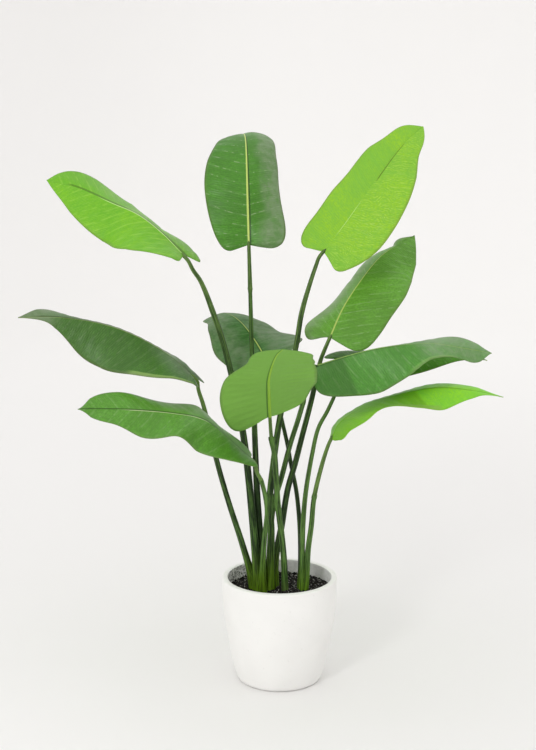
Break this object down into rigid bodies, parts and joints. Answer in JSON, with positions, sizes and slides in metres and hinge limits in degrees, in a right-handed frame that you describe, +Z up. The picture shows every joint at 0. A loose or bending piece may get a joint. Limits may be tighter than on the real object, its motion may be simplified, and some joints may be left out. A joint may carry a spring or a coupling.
{
  "type": "potted bird of paradise",
  "caption": "Tall house plant with large paddle-shaped leaves on long bare stalks, standing in dark soil in a plain round white pot.",
  "frame": {"origin": "middle of the pot's flat underside, on the surface that it stands on", "axes": "+Z up through the plant, +X towards the viewer's right, -Y towards the viewer of the front"},
  "size_m": [1.0284, 0.7031, 1.1971],
  "materials": {
    "pot": "matte white, very slightly mottled",
    "soil": "loose dark granules",
    "stem": "satin dark green, brighter at the foot",
    "stalk": "satin olive green",
    "blade_lime": "satin lime green with fine side veins",
    "blade_green": "satin leaf green with fine side veins",
    "blade_deep": "satin deep green with fine side veins"
  },
  "bodies": {
    "root": {"pot": "pot", "soil": "soil", "left_clump": "stem", "right_clump": "stem", "front_stem": "stem", "stalk_upper_left": "stalk", "blade_upper_left": "blade_lime", "stalk_top": "stalk", "blade_top": "blade_green", "stalk_upper_right": "stalk", "blade_upper_right": "blade_lime", "stalk_middle_right": "stalk", "blade_middle_right": "blade_green", "stalk_back": "stalk", "blade_back": "blade_deep", "stalk_front": "stalk", "blade_front": "blade_green", "stalk_middle_left": "stalk", "blade_middle_left": "blade_deep", "stalk_lower_left": "stalk", "blade_lower_left": "blade_green", "stalk_right": "stalk", "blade_right": "blade_green", "stalk_lower_right": "stalk", "blade_lower_right": "blade_lime", "stalk_behind_right": "stalk", "blade_behind_right": "blade_green"}
  },
  "joints": []
}
